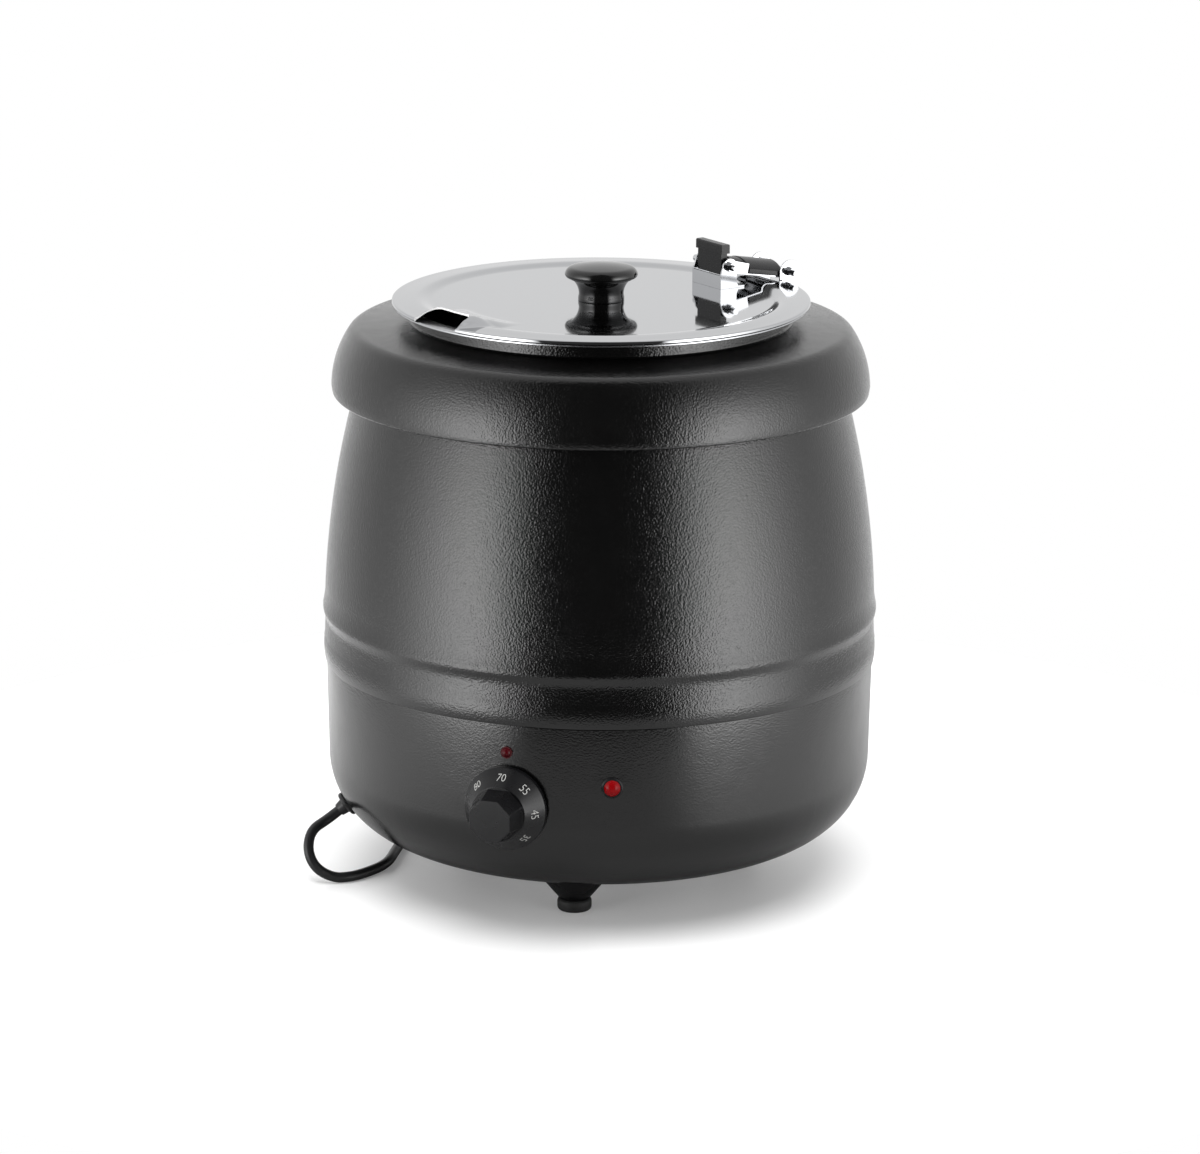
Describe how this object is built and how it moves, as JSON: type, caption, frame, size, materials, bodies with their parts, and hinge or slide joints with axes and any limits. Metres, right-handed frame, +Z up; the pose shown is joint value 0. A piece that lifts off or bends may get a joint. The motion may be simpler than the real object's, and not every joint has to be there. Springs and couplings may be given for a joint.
{
  "type": "soup kettle",
  "caption": "Electric soup kettle: barrel-shaped black body on feet, water pan with heater, lift-out pot, and a hinged polished lid with a ladle notch.",
  "frame": {"origin": "on the floor, at the centre of the circle that the three foot pads stand on, under the kettle's axis", "axes": "+Z up along the kettle's axis, -Y to the front, midway between the dial and the lamp, +X to the right seen from the front"},
  "size_m": [0.3452, 0.5196, 0.3872],
  "materials": {
    "painted_black": "satin black fine-textured powder coat",
    "mirror_steel": "mirror-polished stainless steel",
    "satin_steel": "satin stainless steel sheet",
    "hinge_chrome": "bright chrome plate",
    "zinc_steel": "zinc-plated steel",
    "knob_black": "polished black phenolic",
    "moulded_black": "satin black moulded plastic",
    "pad_rubber": "matt black rubber",
    "cord_rubber": "black rubber sheath",
    "red_lens": "clear red acrylic",
    "heater_aluminium": "cast aluminium",
    "terminal_white": "off-white moulded polyamide",
    "plug_metal": "bright nickel plate"
  },
  "bodies": {
    "kettle": {"lower_bowl": "painted_black", "barrel_shell": "painted_black", "top_collar": "painted_black", "foot_1": "moulded_black", "foot_2": "moulded_black", "foot_3": "moulded_black", "foot_pad_1": "pad_rubber", "foot_pad_2": "pad_rubber", "foot_pad_3": "pad_rubber", "foot_screws": "zinc_steel", "water_pan": "satin_steel", "heater_plate": "heater_aluminium", "heating_element": "satin_steel", "element_clamp": "zinc_steel", "tie_stud": "zinc_steel", "clamp_nut": "zinc_steel", "tie_washer": "zinc_steel", "tie_nut": "zinc_steel", "thermal_cutout": "terminal_white", "terminal_block": "terminal_white", "thermostat_body": "moulded_black", "thermostat_screws": "zinc_steel", "lamp_bezel": "moulded_black", "lamp_lens": "red_lens", "lamp_body": "moulded_black", "pointer_light": "red_lens", "cord_gland": "cord_rubber", "cord_lead": "cord_rubber", "cord_coil": "cord_rubber", "cord_tail": "cord_rubber", "plug_body": "cord_rubber", "plug_pins": "plug_metal"},
    "pot": {"soup_pot": "satin_steel", "rim_clip": "hinge_chrome", "rear_pin": "hinge_chrome", "rear_pin_nuts": "hinge_chrome"},
    "lid": {"lid_shell": "mirror_steel", "lid_knob": "knob_black", "knob_screw": "zinc_steel", "lid_bracket": "hinge_chrome", "bracket_rivets": "hinge_chrome", "front_pin": "hinge_chrome", "front_pin_nuts": "hinge_chrome", "hinge_arm": "hinge_chrome", "arm_cover": "moulded_black"},
    "thumb_lever": {"release_tab": "moulded_black", "tab_spring": "zinc_steel"},
    "dial": {"dial_knob": "moulded_black", "dial_shaft": "zinc_steel"}
  },
  "joints": [
    {"name": "pot_lift", "type": "slide", "parent": "kettle", "child": "pot", "axis": [0, 0, 1], "range_m": [0, 0.3]},
    {"name": "lid_swing", "type": "hinge", "parent": "pot", "child": "lid", "pos_m": [0.09566, 0.08921, 0.3653], "axis": [-0.682, 0.7314, 0], "range_deg": [0, 102]},
    {"name": "thumb_press", "type": "hinge", "parent": "lid", "child": "thumb_lever", "pos_m": [0.0626, 0.05838, 0.3731], "axis": [-0.682, 0.7314, 0], "range_deg": [0, 15], "stiffness_Nm_per_rad": 0.2, "springref_deg": -11.46, "deforming": ["tab_spring"]},
    {"name": "dial_turn", "type": "hinge", "parent": "kettle", "child": "dial", "pos_m": [-0.02933, -0.16633, 0.086], "axis": [-0.1736, -0.9848, 0], "range_deg": [-60, 190]}
  ]
}
